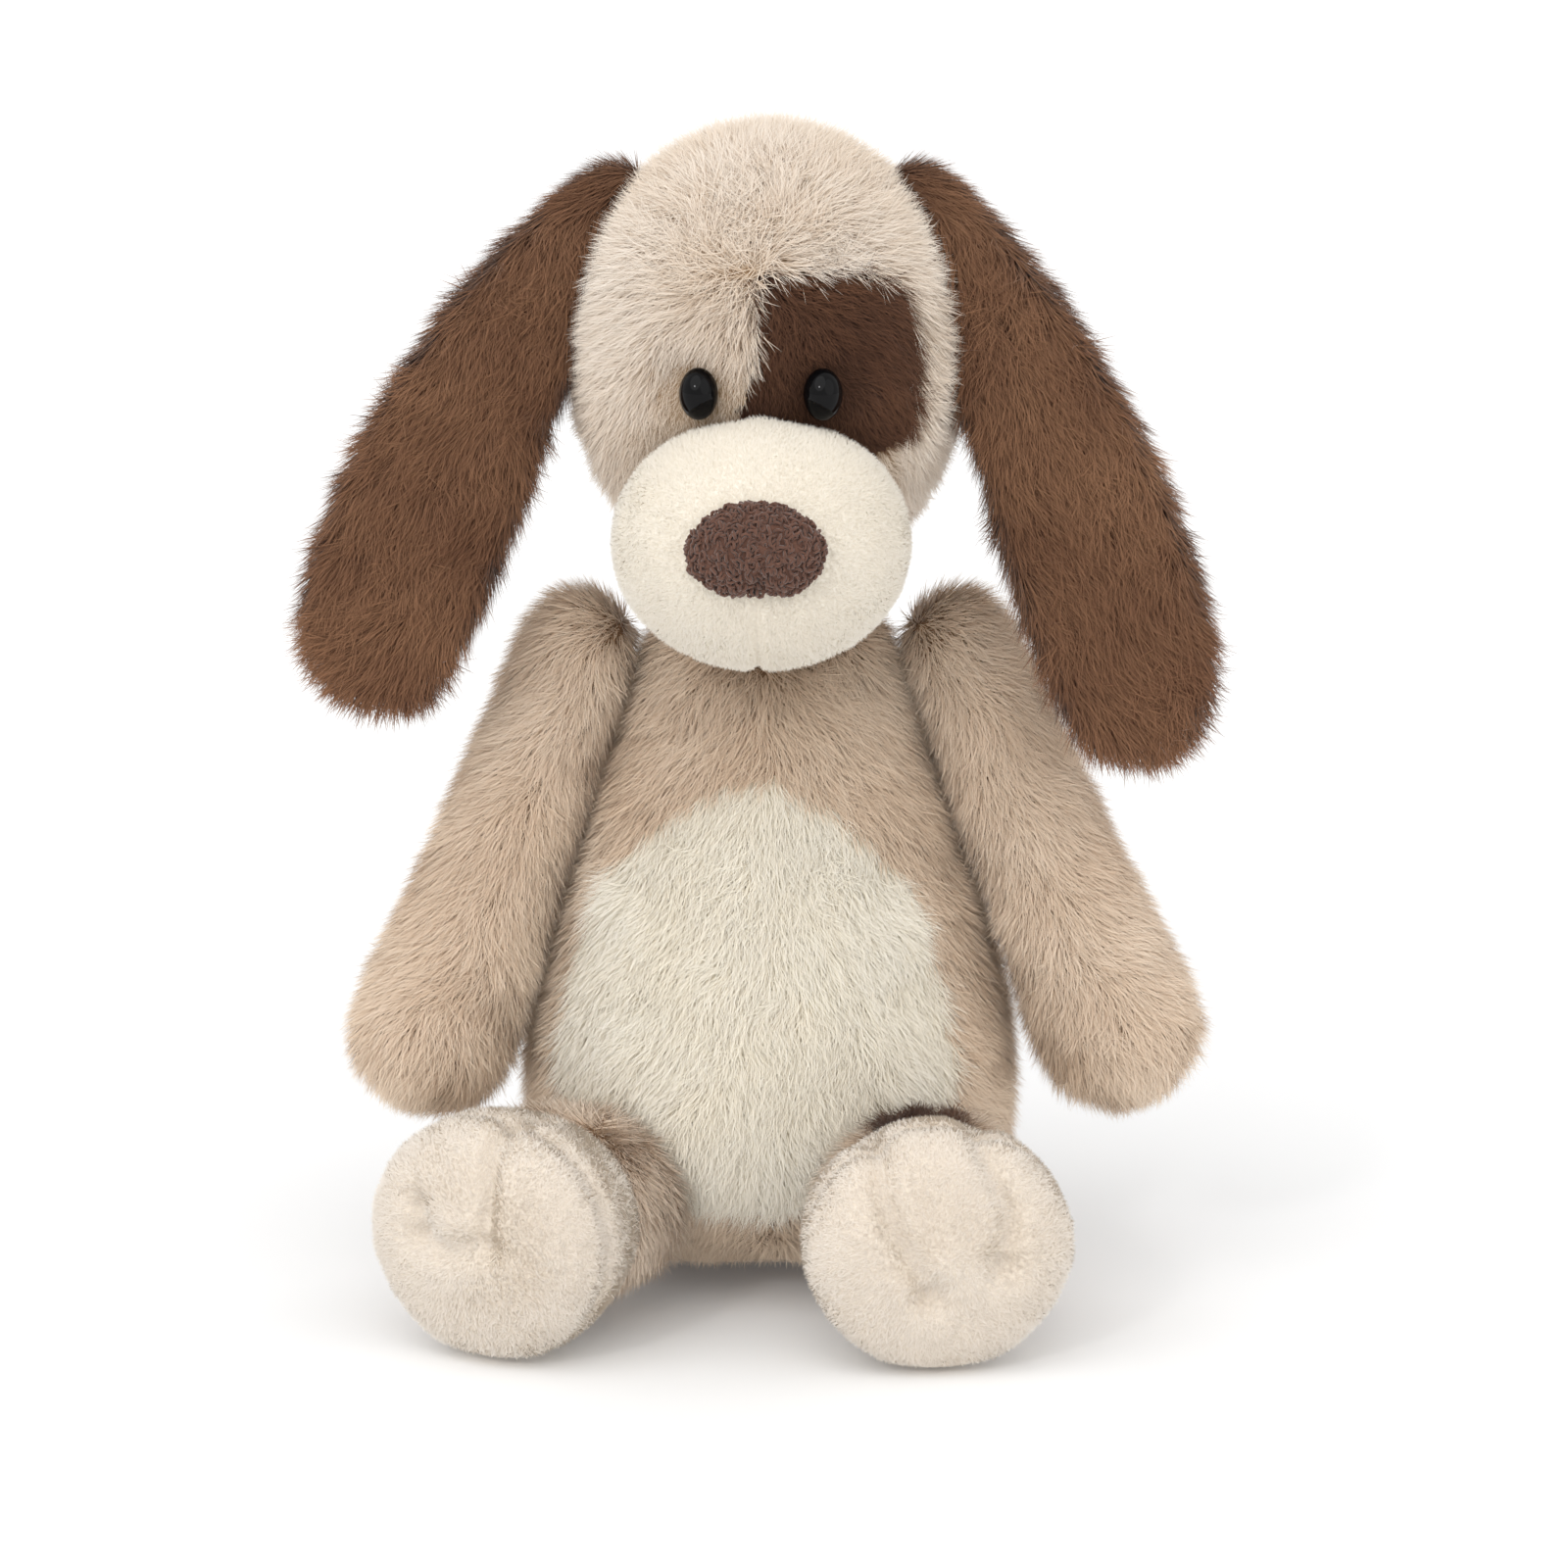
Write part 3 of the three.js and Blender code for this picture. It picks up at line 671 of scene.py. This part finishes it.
nose_yarn = yarn_material("boucle yarn, plum brown", "#432c23", "#775242")
nose_cover = stuffed("nose_cover", ["nose_cover", "nose_wadding"], voxel=1.6 * mm, inset=0.1 * mm,
                     swell=0.6 * mm, levels=1, smoothing=6)
places, normals = points_of(nose_cover.data), normals_of(nose_cover.data)
pull = [(nose_middle[0] + 0.5 * mm, nose_low[2] - 1 * mm),
        (nose_middle[0] + 0.5 * mm, nose_low[2] + 3 * mm)]
gap = near_path(places[:, [0, 2]], pull)
dip = 2.4 * mm * np.exp(-((gap / (2.2 * mm)) ** 2)) * (normals[:, 1] < 0.3)
move_points(nose_cover.data, places - normals * dip[:, None])
dress(nose_cover, "head", nose_yarn, ["nose_cover"])
boucle = bpy.data.objects.new("nose_boucle", nose_cover.data.copy())
scene.collection.objects.link(boucle)
loops = boucle.modifiers.new("loops", "NODES")
loops.node_group = boucle_tree()
for item in loops.node_group.interface.items_tree:
    values = {"Loops per square metre": 1.1e6, "Loop radius": 0.8 * mm, "Yarn radius": 0.33 * mm,
              "Seed": 5, "Yarn": nose_yarn}
    if item.in_out == "INPUT" and item.name in values:
        loops[item.identifier] = values[item.name]
settled(boucle)
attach(boucle, "head")

# ---- Eyes ----
# Moulded black plastic safety eyes: polished oval domes on a post that a washer locks behind
# the cloth. Their gloss gives one clear highlight.
eye_dome = 4.4 * mm
eye_plastic, tree, shader = new_material("moulded ABS, polished black")
place = node(tree, "ShaderNodeTexCoord").outputs["Object"]
swirl = node(tree, "ShaderNodeTexNoise", {}, {"Vector": place, "Scale": 300.0, "Detail": 2.0})
deep = node(tree, "ShaderNodeMix", {"data_type": "RGBA"}, {
    "Factor": swirl.outputs[0], 6: linear("#050506"), 7: linear("#0d0c0d")}).outputs[2]
tree.links.new(deep, shader.inputs["Base Color"])
shader.inputs["Roughness"].default_value = 0.05
shader.inputs["Specular IOR Level"].default_value = 0.15

for side in ("left", "right"):
    low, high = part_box(f"eye_{side}")
    half_width, half_height = (high.x - low.x) / 2, (high.z - low.z) / 2
    form = bmesh.new()
    bmesh.ops.create_uvsphere(form, u_segments=48, v_segments=28, radius=1)
    middle = Vector(((low.x + high.x) / 2, low.y + eye_dome, (low.z + high.z) / 2))
    for corner in form.verts:
        corner.co = Vector((corner.co.x * half_width, corner.co.y * eye_dome,
                            corner.co.z * half_height)) + middle
    mesh = bpy.data.meshes.new(f"eye_{side}_dome")
    form.to_mesh(mesh)
    form.free()
    mesh.shade_smooth()
    mesh.materials.append(eye_plastic)
    eye = bpy.data.objects.new(f"eye_{side}_dome", mesh)
    scene.collection.objects.link(eye)
    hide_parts(f"eye_{side}")
    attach(eye, "head")

# ---- Ears ----
# Two flat panels of brown long-pile plush each, sewn face to face and turned, with no filling.
# They hang from the sides of the head and their pile makes a fringe at the tip.
brown_fibre = fibre_material("acrylic pile, brown", "#573a29", "#764f37", "#a97d5c")
# The brown backing is darker than its pile's roots: painted shade for the dark between the strands.
brown_backing_painted_shade = backing_material("knitted backing, brown", "#33211a", "#49301f")
ear_sizes = dict(strand_length=9 * mm, strand_width=0.34 * mm, root_lean=0.95, bend=0.3,
                 tuft_size=4.5 * mm, tuft_pull=0.6, softness=0.4)
for number, (side, out) in enumerate((("left", 1), ("right", -1))):
    front, back = f"ear_{side}_front", f"ear_{side}_back"
    form = stuffed(f"ear_{side}_form", [front, back], voxel=2 * mm, inset=0.2 * mm,
                   swell=0.8 * mm, pressure=1)
    panels = split(form, front, [front], back, [back])
    low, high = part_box(front)
    down = np.array((out * 0.42, -0.2, -0.95))
    for panel, name in zip(panels, (front, back)):
        dress(panel, f"ear_{side}", brown_backing_painted_shade, [name])
        places = points_of(panel.data)
        crown = fade(places[:, 2], high.z - 14 * mm, high.z - 3 * mm)[:, None]
        flow = down + crown * np.array((out * 2.0, 0, 0))
        tip = 1 - 0.3 * crown[:, 0] + 0.15 * fade(places[:, 2], low.z + 25 * mm, low.z)
        grow_pile(panel, f"{name}_pile", f"ear_{side}", "brown_plush", brown_fibre, flow, tip,
                  seed=51 + 2 * number + (name == back), **ear_sizes)

# ---- Arms ----
# Long stuffed tubes of beige plush, narrow at the shoulder and round at the paw, sewn on below
# the neck. The pile hangs towards the paw.
for number, (side, out) in enumerate((("left", 1), ("right", -1))):
    skin = stuffed(f"arm_{side}_skin", [f"arm_{side}_skin", f"arm_{side}_stuffing"],
                   voxel=4 * mm, inset=0.4 * mm, swell=1.8 * mm)
    dress(skin, f"arm_{side}", beige_backing_painted_shade, [f"arm_{side}_skin"])
    places, normals = points_of(skin.data), normals_of(skin.data)
    crown = fade(normals[:, 2], 0.1, 0.7)[:, None]
    flow = np.array((out * 0.37, -0.13, -0.92)) + crown * np.array((out * 2.4, -0.3, 0))
    inner = fade(-out * normals[:, 0], 0.3, 0.9) * fade(places[:, 2], 60 * mm, 90 * mm)
    # the arms take the lighter copy of the beige fibre, painted light
    grow_pile(skin, f"arm_{side}_pile", f"arm_{side}", "beige_plush", beige_fibre_painted_light, flow,
              1 - 0.15 * inner, seed=61 + number)

# ---- Legs and feet ----
# Short stuffed legs of beige plush that end in feet of cream velour: an upper band and a round
# sole cushion. Two threads drawn through each foot make three toes.
leg_splay = {"left": 6, "right": 32}
hip_middle = {"left": np.array((30, -22, 27)) * mm, "right": np.array((-30, -22, 27)) * mm}
toe_threads = {  # across and up the sole from its middle, in millimetres
    "right": (((5.2, 31), (5.8, 20), (5.6, 10), (5.2, 1)),
              ((-12.2, 7), (-11, 0.6), (-5, -1.8), (1.5, -0.4), (5, 1))),
    "left": (((-14, 31), (-13.5, 14), (-10.5, 6), (-6, -2), (-3, -8)),
             ((6, 31), (9.5, 20), (13.8, 10), (13.6, 4), (12.2, -1))),
}
# A lighter copy of the beige fibre for the legs: painted light against the shade between the foot
# and the belly.
leg_fibre_painted_light = fibre_material("acrylic pile, beige, legs", "#dcc4ab", "#ecd7c0", "#fdf1e2")
# The foot velour is darker than its pile: painted shade, which shows in the toe creases where the
# pile is shorter and between the strands.
foot_velour_painted_shade = backing_material("velour, warm cream", "#e0d3c2", "#eae0d2")
foot_fibre = fibre_material("velour pile, warm cream", "#ebdfd0", "#f3e9dc", "#fbf4eb")
toe_draw = 4.2 * mm  # how far the threads draw the sole in
toe_stitches = {"right": ((5.2, 0.6), (-11, 1)), "left": ((-2.8, -8), (12.4, -2))}


def foot_creases(places, normals, side, out):
    """Points drawn in by the toe threads, and how deep each is drawn, from 0 to 1."""
    turn = math.radians(out * leg_splay[side])
    local = places - hip_middle[side]
    across = local[:, 0] * math.cos(turn) + local[:, 1] * math.sin(turn)
    forward = local[:, 0] * math.sin(turn) - local[:, 1] * math.cos(turn)
    face = np.stack([across, local[:, 2]], 1) / mm
    depth = np.zeros(len(places))
    for thread in toe_threads[side]:
        depth = np.maximum(depth, 0.7 * np.exp(-((near_path(face, thread) / 2.8) ** 2)))
    for stitch in toe_stitches[side]:
        depth = np.maximum(depth, np.exp(-((np.linalg.norm(face - stitch, axis=1) / 3.8) ** 2)))
    depth *= fade(forward / mm, 34, 44) * fade(local[:, 2] / mm, -20, -10)
    return places - normals * depth[:, None] * toe_draw, depth


for number, (side, out) in enumerate((("left", 1), ("right", -1))):
    body, upper, sole = f"leg_{side}", f"foot_{side}_upper", f"foot_{side}_sole"
    leg_nodes = [f"leg_{side}_skin", upper, sole]
    form = stuffed(f"leg_{side}_form", [*leg_nodes, f"leg_{side}_stuffing"],
                   voxel=4 * mm, inset=0.6 * mm, swell=2.2 * mm, levels=2)
    places, normals = points_of(form.data), normals_of(form.data)
    creased, _ = foot_creases(places, normals, side, out)
    for first, other in ((leg_nodes[:1], leg_nodes[1:]), ([sole], [upper])):
        rim = np.exp(-((nearer(places, first, other) / (1.6 * mm)) ** 2))
        ahead = fade(hip_middle[side][1] - places[:, 1], 24 * mm, 30 * mm)
        creased -= normals * (rim * ahead * 1.2 * mm)[:, None]
    move_points(form.data, creased)
    foot, skin = split(form, f"foot_{side}", [upper, sole], f"leg_{side}_skin", leg_nodes[:1])
    sole_skin, upper_skin = split(foot, sole, [sole], upper, [upper])
    dress(skin, body, beige_backing_painted_shade, leg_nodes[:1])
    places = points_of(skin.data)
    turn = math.radians(leg_splay[side])
    flow = np.tile((out * 0.4 * math.sin(turn), -0.4 * math.cos(turn), -1), (len(places), 1))
    # the leg pile takes the lighter copy of the beige fibre, painted light
    grow_pile(skin, f"leg_{side}_pile", body, "beige_plush", leg_fibre_painted_light, flow,
              0.25 + 0.6 * fade(places[:, 2], 2 * mm, 14 * mm), seed=71 + number, softness=1.6)
    for cushion, name, seed in ((upper_skin, upper, 73), (sole_skin, sole, 75)):
        dress(cushion, body, foot_velour_painted_shade, [name])
        places, normals = points_of(cushion.data), normals_of(cushion.data)
        _, depth = foot_creases(places, normals, side, out)
        flow = places - places.mean(0)
        flow /= np.maximum(np.linalg.norm(flow, axis=1, keepdims=True), 1 * mm)
        grow_pile(cushion, f"{name}_pile", body, "cream_velour", foot_fibre, flow,
                  (1 - 0.25 * depth) * fade(places[:, 2], 0.5 * mm, 4 * mm),
                  seed=seed + number, **velour_sizes)

# The patch on the left leg is a spot of the ears' brown plush sewn into the top of the thigh.
patch = stuffed("leg_left_patch", ["leg_left_patch"], voxel=2 * mm, inset=0.2 * mm,
                swell=0.4 * mm)
dress(patch, "leg_left", brown_backing_painted_shade, ["leg_left_patch"])
places = points_of(patch.data)
grow_pile(patch, "leg_left_patch_pile", "leg_left", "brown_plush", brown_fibre,
          np.tile((0.1, -1.0, -0.3), (len(places), 1)), np.full(len(places), 0.7), seed=79)

# ---- Tail ----
# Short stuffed tube of beige plush, sewn on low at the back.
tail_skin = stuffed("tail_skin", ["tail_skin", "tail_stuffing"], voxel=3 * mm, inset=0.8 * mm,
                    swell=1 * mm)
dress(tail_skin, "tail", beige_backing_painted_shade, ["tail_skin"])
places = points_of(tail_skin.data)
# the tail takes the arms' lighter copy of the beige fibre, painted light
grow_pile(tail_skin, "tail_pile", "tail", "beige_plush", beige_fibre_painted_light,
          np.tile((0, 0.4, -1.0), (len(places), 1)), np.full(len(places), 0.85), seed=81)

# ---- Filling and fixings inside ----
# Loose polyester wadding well inside every skin, a cotton bag of pellets in the seat and the
# eyes' washers. Nothing of them shows outside.
wadding, tree, shader = new_material("polyester wadding")
place = node(tree, "ShaderNodeTexCoord").outputs["Object"]
tangle = node(tree, "ShaderNodeTexNoise", {}, {"Vector": place, "Scale": 400.0, "Detail": 6.0})
mixed = node(tree, "ShaderNodeMix", {"data_type": "RGBA"}, {
    "Factor": tangle.outputs[0], 6: linear("#dcd9d0"), 7: linear("#fbfaf6")}).outputs[2]
bump = node(tree, "ShaderNodeBump", {}, {
    "Strength": 0.9, "Distance": 1 * mm, "Height": tangle.outputs[0]}).outputs[0]
tree.links.new(mixed, shader.inputs["Base Color"])
tree.links.new(bump, shader.inputs["Normal"])
shader.inputs["Roughness"].default_value = 0.95
for name, body, depth in (
    ("torso_stuffing", "torso", 5), ("neck_stuffing", "neck", 1), ("head_stuffing", "head", 5),
    ("muzzle_stuffing", "head", 3), ("nose_wadding", "head", 1.2), ("tail_stuffing", "tail", 2),
    ("arm_left_stuffing", "arm_left", 2.5), ("arm_right_stuffing", "arm_right", 2.5),
    ("leg_left_stuffing", "leg_left", 5), ("leg_right_stuffing", "leg_right", 5),
):
    filling = stuffed(name.rsplit("_", 1)[0] + "_filling", [name], voxel=4 * mm, inset=depth * mm,
                      swell=0, levels=0)
    if name == "torso_stuffing":
        seat_lifted(filling)
    dress(filling, body, wadding, [name])
pellet_cloth = backing_material("woven cotton, grey", "#bdc0c2", "#d6d9da")
washer_plastic = backing_material("moulded polyethylene, natural", "#dcdad2", "#eceae4")
pellets = stuffed("pellet_pouch", ["pellet_bag"], voxel=4 * mm, inset=3 * mm, swell=0)
seat_lifted(pellets)
dress(pellets, "torso", pellet_cloth, ["pellet_bag"])
for name in ("eye_washer_left", "eye_washer_right"):
    for material_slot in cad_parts[name].material_slots:
        material_slot.material = washer_plastic
